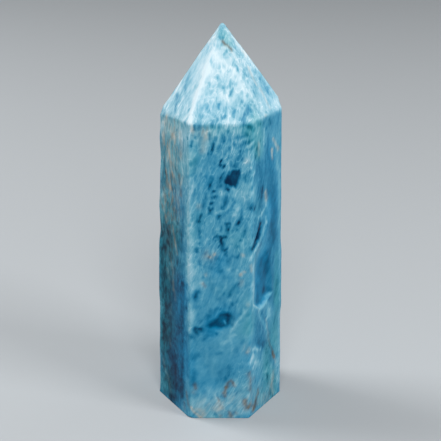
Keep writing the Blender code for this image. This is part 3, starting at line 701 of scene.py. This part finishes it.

# Broad lighter (above 0) and darker (below 0) ground: (size in mm, amount, pixels). The
# clouds marked below as painted highlight or painted light and shade stand for light instead.
toneClouds = [
    # Painted highlight along the front left edge: both clouds on the next line, the first cloud on
    # the line after it and the second cloud on the third line.
    (1, 0.22, 189.5, 134, 190, 262), (1.2, 0.2, 189, 264, 189, 290),
    (1, 0.16, 189, 304, 190, 318), (1.6, 0.12, 197, 266, 198, 290),
    (1.6, 0.1, 250, 146, 250, 150), (1.6, 0.1, 189, 344, 189, 384),
    (2.2, 0.1, 190, 126, 250, 128), (1.6, 0.16, 232, 126, 238, 134),
    (1.8, 0.12, 209, 130, 211, 138), (2.2, 0.1, 232, 147, 222, 150),
    (1.2, -0.16, 191, 122, 200, 126), (1, -0.14, 223, 176, 224, 184),
    (0.9, -0.14, 222, 239, 223, 250), (1.2, 0.12, 197, 366, 198, 378),
    (1.4, 0.14, 198, 400, 200, 406), (2, -0.08, 208, 354, 210, 374),
    (2, -0.08, 222, 370, 222, 378), (2.6, 0.36, 164, 124, 182, 130),
    (1.4, 0.16, 182, 134, 183, 168), (2, 0.14, 174, 140, 176, 158),
    (1.6, 0.1, 169, 146, 170, 170), (1.6, -0.2, 176, 206, 177, 240),
    (1.4, 0.1, 163, 190, 163, 200), (2.4, 0.16, 214, 44, 204, 64), (2.4, 0.1, 232, 58, 242, 70),
    (2, 0.12, 228, 98, 240, 90), (3, 0.06, 200, 92, 212, 84), (5, -0.04, 184, 100, 196, 72),
    (5, -0.1, 168, 150, 168, 230), (3, -0.14, 172, 124, 176, 140), (3, -0.1, 262, 100, 252, 80),
    (2.4, -0.08, 170, 118, 190, 119, 250, 120, 276, 112), (3.2, 0.1, 200, 402, 240, 400),
    (1.6, 0.06, 246, 180, 246, 220), (4.5, -0.36, 166, 232, 168, 270),
    (1.6, 0.14, 168, 264, 168, 290), (4.5, -0.48, 167, 290, 172, 395),
    (2.4, -0.18, 178, 260, 179, 385), (1.2, -0.2, 183, 286, 183, 396),
    (1.2, -0.2, 163, 322, 163, 396), (3, -0.26, 269, 160, 275, 300),
    (1.6, -0.14, 275, 188, 275, 236), (1.6, -0.18, 257, 144, 260, 206),
    (1.2, 0.18, 268, 205, 270, 218), (1.3, -0.18, 262, 224, 260, 244),
    (2, -0.22, 264, 262, 262, 300), (1.4, -0.06, 269, 240, 269, 278),
    # Painted light and shade in the scoop: the first cloud here is painted light on its shaded
    # left wall, the second painted shade on its lower wall, which catches the light.
    (1, 0.2, 254.6, 266, 254.6, 300), (1, -0.24, 266, 292, 269, 298),
    (1, 0.24, 268, 304, 270, 314), (1.1, 0.1, 275, 252, 275, 300),
    (1.2, -0.14, 275, 318, 275, 328), (1.2, 0.1, 254, 324, 254, 344),
    (3, -0.2, 261, 325, 262, 342), (2.6, -0.14, 270, 336, 270, 352),
    (4, -0.1, 270, 376, 270, 392), (1.6, -0.06, 270, 350, 274, 366),
    (2, -0.1, 192, 330, 192, 400), (1.4, -0.1, 198, 208, 198, 216),
    (1.2, -0.12, 182, 204, 182, 236), (1.2, -0.1, 182, 252, 182, 400),
    (1.2, -0.08, 168, 380, 172, 398),
]

# Greener (above 0) and more royal (below 0) blue.
hueClouds = [
    (2, 0.3, 193, 160, 192, 172), (2, 0.4, 212, 128, 246, 130), (2, 0.35, 196, 244, 192, 236),
    (2.4, 0.35, 250, 300, 250, 330), (2.2, 0.5, 266, 350, 266, 368), (1.8, 1.2, 222, 34, 228, 42),
    (2, 0.35, 252, 102, 256, 120), (3, 0.5, 268, 376, 262, 392), (1.6, 0.5, 178, 120),
    (2.6, 1, 257, 124, 260, 150), (2, 0.6, 270, 118, 268, 132), (5, 0.6, 169, 130, 171, 262),
    (2.4, 0.5, 272, 374, 274, 392), (4, 0.7, 164, 210, 164, 380), (2, 0.4, 277, 310, 276, 350),
    (1.4, 0.5, 276, 254, 276, 300), (2.2, -0.5, 222, 258, 218, 272),
    (2.4, -0.5, 210, 331, 222, 308), (2.2, -0.3, 214, 180, 216, 172),
    (8, -0.4, 210, 372, 224, 366), (1.4, -0.3, 246, 162), (3.4, -0.8, 264, 262, 262, 296),
    (4, -0.6, 267, 130, 272, 180, 274, 240), (2.2, -1, 182, 286, 182, 372), (1.6, -0.3, 244, 412),
    (1.6, -0.7, 234, 173, 231, 183), (2, -0.5, 212, 325, 228, 317),
]

# Where the streaks along the fibres are stronger (above 0) or weaker (below 0).
grainClouds = [
    (3.5, -0.3, 262, 262, 261, 298), (2.5, -0.2, 266, 350, 266, 366),
    (6, -0.2, 200, 335, 240, 335), (8, -0.22, 200, 375, 245, 375), (3, -0.2, 271, 150, 273, 240),
    (3, 0.2, 262, 190, 257, 214), (4.5, -0.45, 172, 280, 174, 395),
    (2.5, -0.3, 182, 300, 182, 390),
]

# Where pale threads and small clear cells are stronger (above 0) or weaker (below 0).
laceClouds = [
    (6, 0.2, 222, 62, 225, 112), (4, 0.35, 243, 140, 235, 160), (6, 0.1, 220, 190, 220, 250),
    (7, -0.3, 215, 290, 215, 370), (3, -0.4, 205, 60, 200, 90), (5, -0.4, 276, 180, 274, 330),
    (3, -0.4, 262, 262, 261, 298), (5, -0.3, 170, 220, 170, 380), (4, -0.4, 182, 90, 190, 70),
    (3, -0.4, 262, 95),
]

# Where the stone is greyed by fine beige fibres.
warmClouds = [
    (4.2, 0.85, 170, 126, 171, 206), (3.2, 0.4, 170, 228, 170, 262),
    (1.6, 0.4, 205, 132, 196, 130), (1.8, 0.3, 210, 256), (2.6, 0.2, 205, 405, 240, 400),
    (2.6, 0.35, 254, 398, 268, 400), (1.6, 0.3, 272, 380, 271, 390), (1.4, 0.2, 247, 350),
]

# Marks strewn over the facets that the photograph doesn't show. A kind is (count, shortest,
# longest, thinnest, thickest, least, most), in mm and as amounts.
hiddenMarks = {
    "dark": [(150, 0.2, 1.6, 0.3, 0.5, -0.4, -0.12), (14, 1.5, 4.0, 0.7, 1.3, -0.4, -0.2)],
    "pale": [(70, 2.0, 7.0, 0.3, 0.5, 0.08, 0.25)],
    "rust": [(26, 1.0, 6.0, 0.35, 0.6, 0.15, 0.5)],
    "toneSeed": 31,
    "rustSeed": 32,
    "heights": (1.0, 88.0),
    "reach": 7.2,  # how far they lie to each side of a facet's middle
    "narrowing": 19.0,  # and how far below the tip that begins to shrink
    "stray": 12.0,  # how far they turn from the fibres, in degrees
    "bow": 0.08,  # how much they bend, as a share of their length
}

# The ground that the marks lie on. Waves are (size in mm, amount, seed).
ground = {
    "tone": 0.635,  # how milky the side facets are
    # The point is paler partly as milkier crystal and partly as a painted sheen of the light from
    # above on its facets.
    "pointPaleAndSheen": 0.36,  # how much milkier the point is
    "point": (70.2, 1.2),  # height at which it begins, and over how much it is reached
    "hidden": (6.0, 2.0),  # how far back the unseen facets begin, and over how much
    "left": (7.2, 2.0),  # how far left the front left facet begins, and over how much
    # How far the marks sway off their drawn lines: (size, amount, seeds for x, y and z).
    "wander": [(1.8, 0.09, (1, 2, 3)), (0.8, 0.04, (4, 5, 6))],
    "hiddenTone": (16.0, 0.12, 24),
    "hiddenDarker": 0.05,
    "stainTone": 0.35,  # how much a stain also pales or darkens the stone
    "palest": 0.8,  # on the side facets, a paler tone than this is held back by this share
    "heldBack": 0.6,
    "hiddenWarmth": (20.0, 0.3, 22),
    "warmth": 0.22,
    "laceWaves": (12.0, 0.12, 21),
    "lace": 0.5,
    "windowLace": 1.2,
    "mostLace": 1.4,
    "grain": 0.3,
    "leftGrain": 0.45,
    "hiddenGrain": 0.25,
    "hueWaves": (9.0, 0.2, 23),
    "hue": 0.14,
    "pointHue": 0.45,
}


def hiddenStrokes(seed, kinds):
    # Strokes like the drawn ones, along the fibres and strewn over the three back facets.
    draw = np.random.default_rng(seed)
    strokes = []
    for count, shortest, longest, thinnest, thickest, least, most in kinds:
        for _ in range(count):
            number = 2 + draw.integers(3)
            height = draw.uniform(*hiddenMarks["heights"])
            number += 6 * (height > stone["shoulder"])
            azimuth = np.degrees(np.arctan2(normals[number][1], normals[number][0]))
            sideways = compass(azimuth + 90.0)
            upward = np.cross(normals[number], sideways)
            narrowed = min(1.0, (stone["tip"] - height) / hiddenMarks["narrowing"])
            reach = narrowed * hiddenMarks["reach"]
            middle = sideways * draw.uniform(-reach, reach) + np.array([0.0, 0.0, height])
            middle = middle + normals[number] * (offsets[number] - middle @ normals[number])
            toRight = stone["fibreRight"] + 2.0 * stone["fibreBend"] * height
            fibre = np.array([toRight, stone["fibreBack"]])
            stray = np.radians(draw.normal(0.0, hiddenMarks["stray"]))
            turn = np.arctan(sideways[:2] @ fibre) + stray
            along = upward * np.cos(turn) + sideways * np.sin(turn)
            half = along * draw.uniform(shortest, longest) / 2.0
            bend = sideways * draw.normal(0.0, hiddenMarks["bow"]) * np.linalg.norm(half) * 2.0
            line = np.array([middle - half, middle + bend, middle + half])
            strokes.append((draw.uniform(thinnest, thickest), draw.uniform(least, most), line))
    return strokes


def stoneFields(wall):
    # What the material reads at each place: how milky the crystal is, with painted highlights,
    # painted shade and the point's painted sheen in it too (tone), rust, the strength of streaks
    # (grain), beige fibres (warmth), pale threads and small cells (lace), and greener or more
    # royal blue (hue).
    def uneven(name):
        # The waves that the ground has under this name.
        size, amount, seed = ground[name]
        return amount * waves(wall, size, seed)

    def past(distance, limits):
        # 0 up to the first limit, rising to 1 over the second.
        return np.clip((distance - limits[0]) / limits[1], 0.0, 1.0)

    drawn = wall + sum(
        np.stack([waves(wall, size, seed) for seed in seeds], axis=-1) * amount
        for size, amount, seeds in ground["wander"]
    )
    hidden = past(wall[:, 1], ground["hidden"])
    crown = past(wall[:, 2], ground["point"])
    onLeft = past(-wall[:, 0], ground["left"])
    windows = drawWindows(drawn, navyWindows)
    stains = fromPhoto(stainStrokes)

    # The point is paler: partly milkier crystal, partly a painted sheen of the light from above.
    tone = ground["tone"] + ground["pointPaleAndSheen"] * crown
    tone = tone + drawStrokes(drawn, fromPhoto(toneClouds + toneStrokes))
    tone += windows + hidden * (uneven("hiddenTone") - ground["hiddenDarker"])
    strewn = hiddenMarks["dark"] + hiddenMarks["pale"]
    tone += drawStrokes(drawn, hiddenStrokes(hiddenMarks["toneSeed"], strewn)) * hidden
    tone += ground["stainTone"] * drawStrokes(drawn, stains)
    # The side facets are never as milky as the point, so their palest marks are held back.
    tone -= ground["heldBack"] * (1.0 - crown) * np.maximum(tone - ground["palest"], 0.0)

    rust = drawStrokes(drawn, [(size, abs(amount), line) for size, amount, line in stains])
    strewn = hiddenStrokes(hiddenMarks["rustSeed"], hiddenMarks["rust"])
    rust += drawStrokes(drawn, strewn) * hidden

    grain = ground["grain"] + ground["leftGrain"] * onLeft + ground["hiddenGrain"] * hidden
    grain = grain + drawStrokes(wall, fromPhoto(grainClouds))
    warmth = drawStrokes(wall, fromPhoto(warmClouds)) * (1.0 - crown)
    warmth += hidden * (ground["warmth"] + uneven("hiddenWarmth"))
    lace = ground["lace"] + uneven("laceWaves") + drawStrokes(wall, fromPhoto(laceClouds))
    hue = ground["hue"] - ground["pointHue"] * crown + uneven("hueWaves")
    return {
        "tone": tone,
        "rust": rust,
        "grain": np.clip(grain + windows, 0.0, 1.0),
        "warmth": np.clip(warmth, 0.0, 1.0),
        "lace": np.clip(lace + ground["windowLace"] * windows, 0.0, ground["mostLace"]),
        "hue": hue + drawStrokes(wall, fromPhoto(hueClouds)),
    }


def roughen(grid):
    # The places of the wall once it has its ripple, swells and hollows.
    wall = grid.reshape(-1, 3)
    outward = surfaceNormals(grid).reshape(-1, 3)
    ripple = sum(waves(wall, size, seed) * height for size, height, seed in stone["ripples"])
    ripple = ripple - stone["wear"] + drawStrokes(wall, fromPhoto(swells))
    ripple *= np.clip(wall[:, 2] / stone["crispFoot"], 0.0, 1.0)
    return wall + outward * ripple[:, None] + carveHollows(wall)


def gridFaces(rowCount, columnCount):
    # Four-sided faces between neighbouring rows and columns, closed round each row.
    row, column = np.meshgrid(np.arange(rowCount - 1), np.arange(columnCount), indexing="ij")
    beside = (column + 1) % columnCount
    corners = [row * columnCount + column, row * columnCount + beside]
    corners += [(row + 1) * columnCount + beside, (row + 1) * columnCount + column]
    return np.stack(corners, axis=-1).reshape(-1, 4)


def buildStone():
    grid = stoneGrid()
    print("scene: stone shape worked out")
    fields = stoneFields(grid.reshape(-1, 3))
    print("scene: marks drawn")
    wall = roughen(grid)

    # The foot is level rings from its rim to its middle, and the tip is one vertex.
    rowCount, columnCount = grid.shape[:2]
    rim = wall[:columnCount]
    rings = np.linspace(0.0, 1.0, stone["footRings"] + 1)[1:-1, None, None]
    footPlaces = (rim[None] * rings).reshape(-1, 3)
    middle, tip = [0.0, 0.0, 0.0], [*stone["point"][:2], stone["tip"]]
    places = np.concatenate([[middle], footPlaces, wall, [tip]])
    rowTotal = rowCount + stone["footRings"] - 1
    quads = gridFaces(rowTotal, columnCount) + 1
    around = np.arange(columnCount)
    beside = (around + 1) % columnCount
    lastRow = 1 + (rowTotal - 1) * columnCount
    footFan = np.stack([np.zeros(columnCount, int), beside + 1, around + 1], axis=-1)
    atTip = np.full(columnCount, len(places) - 1)
    tipFan = np.stack([lastRow + around, lastRow + beside, atTip], axis=-1)

    mesh = bpy.data.meshes.new("apatiteStone")
    faces = [*quads.tolist(), *footFan.tolist(), *tipFan.tolist()]
    mesh.from_pydata((places * metresPerMm).tolist(), [], faces)
    for name, values in fields.items():
        # The underside of the foot is even, at the mean of its rim.
        underside = np.full(len(footPlaces) + 1, values[:columnCount].mean())
        layer = mesh.attributes.new(name, "FLOAT", "POINT")
        whole = np.concatenate([underside, values, [values[-1]]])
        layer.data.foreach_set("value", whole.astype(np.float32))
    mesh.shade_smooth()
    made = bpy.data.objects.new("apatiteStone", mesh)
    bpy.context.scene.collection.objects.link(made)
    triangles = 2 * len(quads) + 2 * columnCount
    print("scene: stone has", len(mesh.vertices), "vertices,", triangles, "triangles")
    return made


def linear(hexColour):
    # An sRGB hex colour as linear red, green, blue and alpha.
    parts = [int(hexColour[at:at + 2], 16) / 255.0 for at in (1, 3, 5)]
    toe = [part / 12.92 for part in parts]
    curve = [((part + 0.055) / 1.055) ** 2.4 for part in parts]
    return (*[low if part <= 0.04045 else high for part, low, high in zip(parts, toe, curve)], 1.0)


def addNode(tree, kind, settings=(), **links):
    # A node with its settings, whose inputs are given values or linked from other nodes. An
    # input is named with _ for a space, or is atN for input number N.
    node = tree.nodes.new(kind)
    for name, value in dict(settings).items():
        setattr(node, name, value)
    for name, value in links.items():
        key = int(name[2:]) if name[:2] == "at" else name.replace("_", " ")
        if isinstance(value, bpy.types.NodeSocket):
            tree.links.new(value, node.inputs[key])
        else:
            node.inputs[key].default_value = value
    return node


# Polished blue apatite: deep blue where clear, milky where fine threads fill it, with rust
# and beige fibres. Each ramp runs from clear to milky.
apatite = {
    "blue": [
        (0.0, "#042440"), (0.14, "#083F5E"), (0.34, "#146588"), (0.53, "#337E9E"),
        (0.68, "#4A8FAA"), (0.82, "#68A2B6"), (1.0, "#94BCCA"), (1.25, "#C8D8DE"),
    ],
    "royal": [
        (0.0, "#002A48"), (0.14, "#00496B"), (0.34, "#06688F"), (0.53, "#227EA6"),
        (0.68, "#3E8EB1"), (0.82, "#60A1BB"), (1.0, "#90BBCC"), (1.25, "#C4D7DF"),
    ],
    "teal": [
        (0.0, "#04283A"), (0.14, "#0A4759"), (0.34, "#1A6D81"), (0.53, "#388698"),
        (0.68, "#5095A6"), (0.82, "#6EA7B4"), (1.0, "#90BCC5"), (1.25, "#C0D5DA"),
    ],
    "stain": [
        (0.0, "#1C2022"), (0.14, "#3C423F"), (0.34, "#5A5C56"), (0.53, "#727067"),
        (0.68, "#8C887D"), (0.82, "#A19D92"), (1.0, "#B6B1A8"), (1.25, "#C8C3BB"),
    ],
    "milkiest": 1.25,
    # Noise patterns: size across the fibres in mm, how many times longer they are along
    # them, and the noise's detail.
    "sway": (7.0, 2.0, 1.0),
    "bend": (1.5, 1.6, 1.0),
    "streak": (0.5, 8.0, 2.0),
    "broadStreak": (1.1, 7.0, 2.0),
    "veil": (2.4, 2.6, 2.0),
    "mottle": (0.95, 1.3, 3.0),
    "coarseThreads": (1.35, 5.5, 1.0),
    "fineThreads": (0.75, 4.5, 1.0),
    "beigeFibres": (0.7, 9.0, 2.0),
    "raggedEdge": (0.8, 2.0, 2.0),
    "spotsPerMm": (0.85, 0.85, 0.5),
    # How far sway and bend move a pattern, in mm.
    "swayBy": 3.0,
    "bendBy": 0.6,
    # How much each pattern pales or darkens the stone. Streaks take theirs from the grain.
    "streakBy": (0.1, 0.36),
    "veilBy": 0.3,
    "mottleBy": 0.24,
    "coarseThreadsBy": 0.2,
    "fineThreadsBy": 0.12,
    "spotsBy": 0.42,
    # How near its middle value a noise still makes a thread.
    "coarseNear": 0.045,
    "fineNear": 0.07,
    "roughness": 0.22,
    "ior": 1.63,
    "specular": 0.04,
}


def polishedApatite():
    material = bpy.data.materials.new("polishedApatite")
    material.use_nodes = True
    tree = material.node_tree
    tree.nodes.clear()
    output = addNode(tree, "ShaderNodeOutputMaterial")
    shader = addNode(
        tree, "ShaderNodeBsdfPrincipled", Roughness=apatite["roughness"],
        IOR=apatite["ior"], Specular_IOR_Level=apatite["specular"],
    )
    tree.links.new(shader.outputs[0], output.inputs[0])

    def combine(operation, first, second=0.0, third=0.0):
        settings = {"operation": operation}
        made = addNode(tree, "ShaderNodeMath", settings, at0=first, at1=second, at2=third)
        return made.outputs[0]

    def ease(value, low, high, newLow=0.0, newHigh=1.0):
        limits = {"at1": low, "at2": high, "at3": newLow, "at4": newHigh}
        settings = {"interpolation_type": "SMOOTHSTEP"}
        return addNode(tree, "ShaderNodeMapRange", settings, at0=value, **limits).outputs[0]

    def field(name):
        return addNode(tree, "ShaderNodeAttribute", {"attribute_name": name}).outputs["Fac"]

    def blend(amount, under, over):
        settings = {"data_type": "RGBA", "clamp_factor": True}
        return addNode(tree, "ShaderNodeMix", settings, at0=amount, at6=under, at7=over).outputs[2]

    place = addNode(tree, "ShaderNodeTexCoord").outputs["Object"]
    # Each place is moved down its fibre to the level of the foot, but keeps its height.
    perMetre = 1.0 / metresPerMm
    toMm = (perMetre, perMetre, perMetre)
    inMm = addNode(tree, "ShaderNodeMapping", Vector=place, Scale=toMm).outputs[0]
    height = addNode(tree, "ShaderNodeSeparateXYZ", at0=inMm).outputs[2]
    lean = combine("MULTIPLY_ADD", height, stone["fibreBend"], stone["fibreRight"])
    toRight = combine("MULTIPLY", height, lean)
    toBack = combine("MULTIPLY", height, stone["fibreBack"])
    moved = addNode(tree, "ShaderNodeCombineXYZ", X=toRight, Y=toBack).outputs[0]
    settings = {"operation": "SUBTRACT"}
    fibre = addNode(tree, "ShaderNodeVectorMath", settings, at0=inMm, at1=moved).outputs[0]

    def noise(name, source):
        size, stretch, detail = apatite[name]
        scale = (1.0 / size, 1.0 / size, 1.0 / size / stretch)
        scaled = addNode(tree, "ShaderNodeMapping", Vector=source, Scale=scale).outputs[0]
        values = {"Scale": 1.0, "Detail": detail, "Roughness": 0.5}
        return addNode(tree, "ShaderNodeTexNoise", Vector=scaled, **values)

    def movedBy(amount, name, source):
        # Each place moved unevenly, by the amount times the three colours of a noise.
        shift = noise(name, source).outputs["Color"]
        settings = {"operation": "MULTIPLY_ADD"}
        steps = {"at1": (amount, amount, amount), "at2": source}
        return addNode(tree, "ShaderNodeVectorMath", settings, at0=shift, **steps).outputs[0]

    def threads(name, width, source):
        # Thin lines that run where a stretched noise passes through its middle value.
        offMiddle = combine("SUBTRACT", noise(name, source).outputs[0], 0.5)
        return ease(combine("ABSOLUTE", offMiddle), 0.0, width, 1.0, 0.0)

    def varied(tone, name, source, amount):
        # The tone, paler or darker by the amount times a noise about its middle value.
        offMiddle = combine("SUBTRACT", noise(name, source).outputs[0], 0.5)
        return combine("MULTIPLY_ADD", offMiddle, amount, tone)

    swaying = movedBy(apatite["swayBy"], "sway", fibre)
    bent = movedBy(apatite["bendBy"], "bend", swaying)
    grain = field("grain")
    tone = varied(field("tone"), "streak", swaying, ease(grain, 0.0, 0.6, *apatite["streakBy"]))
    tone = varied(tone, "veil", bent, apatite["veilBy"])
    tone = varied(tone, "mottle", fibre, apatite["mottleBy"])
    tone = varied(tone, "broadStreak", swaying, grain)

    # Pale threads, and small clear cells of uneven depth.
    perMm = apatite["spotsPerMm"]
    spotSpace = addNode(tree, "ShaderNodeMapping", Vector=bent, Scale=perMm).outputs[0]
    spotNode = addNode(
        tree, "ShaderNodeTexVoronoi", {"feature": "F1"}, Vector=spotSpace, Scale=1.0
    )
    spotColour = spotNode.outputs["Color"]
    spotDepth = addNode(tree, "ShaderNodeSeparateColor", Color=spotColour).outputs[0]
    spotShape = ease(spotNode.outputs["Distance"], 0.08, 0.44, 1.0, 0.0)
    spots = combine("MULTIPLY", spotShape, spotDepth)
    fine = threads("fineThreads", apatite["fineNear"], bent)
    fine = combine("MULTIPLY", fine, apatite["fineThreadsBy"])
    coarse = threads("coarseThreads", apatite["coarseNear"], bent)
    lace = combine("MULTIPLY_ADD", coarse, apatite["coarseThreadsBy"], fine)
    lace = combine("MULTIPLY_ADD", spots, -apatite["spotsBy"], combine("SUBTRACT", lace, 0.02))
    tone = combine("MULTIPLY_ADD", lace, field("lace"), tone)

    def ramp(name):
        share = combine("DIVIDE", tone, apatite["milkiest"])
        made = addNode(tree, "ShaderNodeValToRGB", Fac=share)
        stops = made.color_ramp.elements
        while len(stops) < len(apatite[name]):
            stops.new(0.5)
        for stop, (at, colour) in zip(stops, apatite[name]):
            stop.position = at / apatite["milkiest"]
            stop.color = linear(colour)
        return made.outputs[0]

    hue = field("hue")
    colour = blend(ease(hue, 0.0, 1.0), ramp("blue"), ramp("teal"))
    colour = blend(ease(combine("MULTIPLY", hue, -1.0), 0.0, 1.0), colour, ramp("royal"))
    beigeFibres = ease(noise("beigeFibres", swaying).outputs[0], 0.42, 0.68, 0.2, 0.9)
    beige = combine("MULTIPLY", beigeFibres, field("warmth"))
    ragged = combine("MULTIPLY_ADD", noise("raggedEdge", fibre).outputs[0], 1.4, 0.4)
    stain = combine("MULTIPLY_ADD", ragged, field("rust"), beige)
    colour = blend(stain, colour, ramp("stain"))
    tree.links.new(colour, shader.inputs["Base Color"])
    print("scene: polished apatite made")
    return material


# The studio. A softbox is (way to it from the stone's middle, its distance in mm, its width
# and height in mm, its brightness).
studio = {
    "softboxes": {
        "key": ((0.05, -0.77, 0.64), 640.0, (290.0, 260.0), 11.0),
        "side": ((0.68, -0.39, 0.58), 640.0, (220.0, 220.0), 13.0),
        "leftStrip": ((-0.6, 0.2, 0.77), 640.0, (200.0, 260.0), 13.0),
        "leftRim": ((-0.85, 0.48, 0.27), 620.0, (300.0, 220.0), 4.5),
        "rightRim": ((0.85, 0.46, 0.27), 620.0, (300.0, 220.0), 3.5),
    },
    "middle": (0.0, 0.0, 45.0),
    "worldColour": "#DDE2E6",
    "world": 0.25,
    "floorColour": "#ACB0B3",
    "floorRoughness": 0.8,
    "floorHalf": 3.0,  # in metres
}


def buildFloor():
    half = studio["floorHalf"]
    corners = [(-half, -half, 0.0), (half, -half, 0.0), (half, half, 0.0), (-half, half, 0.0)]
    mesh = bpy.data.meshes.new("floor")
    mesh.from_pydata(corners, [], [(0, 1, 2, 3)])
    floor = bpy.data.objects.new("floor", mesh)
    bpy.context.scene.collection.objects.link(floor)
    material = bpy.data.materials.new("paleFloor")
    material.use_nodes = True
    shader = material.node_tree.nodes["Principled BSDF"]
    shader.inputs["Base Color"].default_value = linear(studio["floorColour"])
    shader.inputs["Roughness"].default_value = studio["floorRoughness"]
    mesh.materials.append(material)


def addSoftbox(name):
    # An area light of even brightness: its power is brightness * pi * area.
    way, distance, size, brightness = studio["softboxes"][name]
    light = bpy.data.lights.new(name, "AREA")
    light.shape = "RECTANGLE"
    light.size, light.size_y = [length * metresPerMm for length in size]
    light.energy = brightness * np.pi * light.size * light.size_y
    lamp = bpy.data.objects.new(name, light)
    middle = Vector(studio["middle"]) * metresPerMm
    lamp.location = middle + Vector(way).normalized() * distance * metresPerMm
    lamp.rotation_euler = (middle - lamp.location).to_track_quat("-Z", "Y").to_euler()
    bpy.context.scene.collection.objects.link(lamp)


def addWorld():
    world = bpy.data.worlds.new("studio")
    world.use_nodes = True
    background = world.node_tree.nodes["Background"]
    background.inputs["Color"].default_value = linear(studio["worldColour"])
    background.inputs["Strength"].default_value = studio["world"]
    bpy.context.scene.world = world


def buildCamera():
    eye, right, up, back = cameraFrame()
    lens = bpy.data.cameras.new("camera")
    lens.sensor_width = camera["sensor"]
    lens.lens = camera["focalPixels"] / camera["imagePixels"] * camera["sensor"]
    lens.clip_start = 0.01
    body = bpy.data.objects.new("camera", lens)
    turn = Matrix((right, up, back)).transposed().to_4x4()
    body.matrix_world = Matrix.Translation(Vector(eye) * metresPerMm) @ turn
    bpy.context.scene.collection.objects.link(body)
    bpy.context.scene.camera = body


buildCamera()
buildFloor()
for softbox in studio["softboxes"]:
    addSoftbox(softbox)
addWorld()
bpy.context.scene.view_settings.view_transform = "Standard"
print("scene: camera, floor and lights")

stonePiece = buildStone()
stonePiece.data.materials.append(polishedApatite())
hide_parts("apatite_point")
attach(stonePiece, "root")
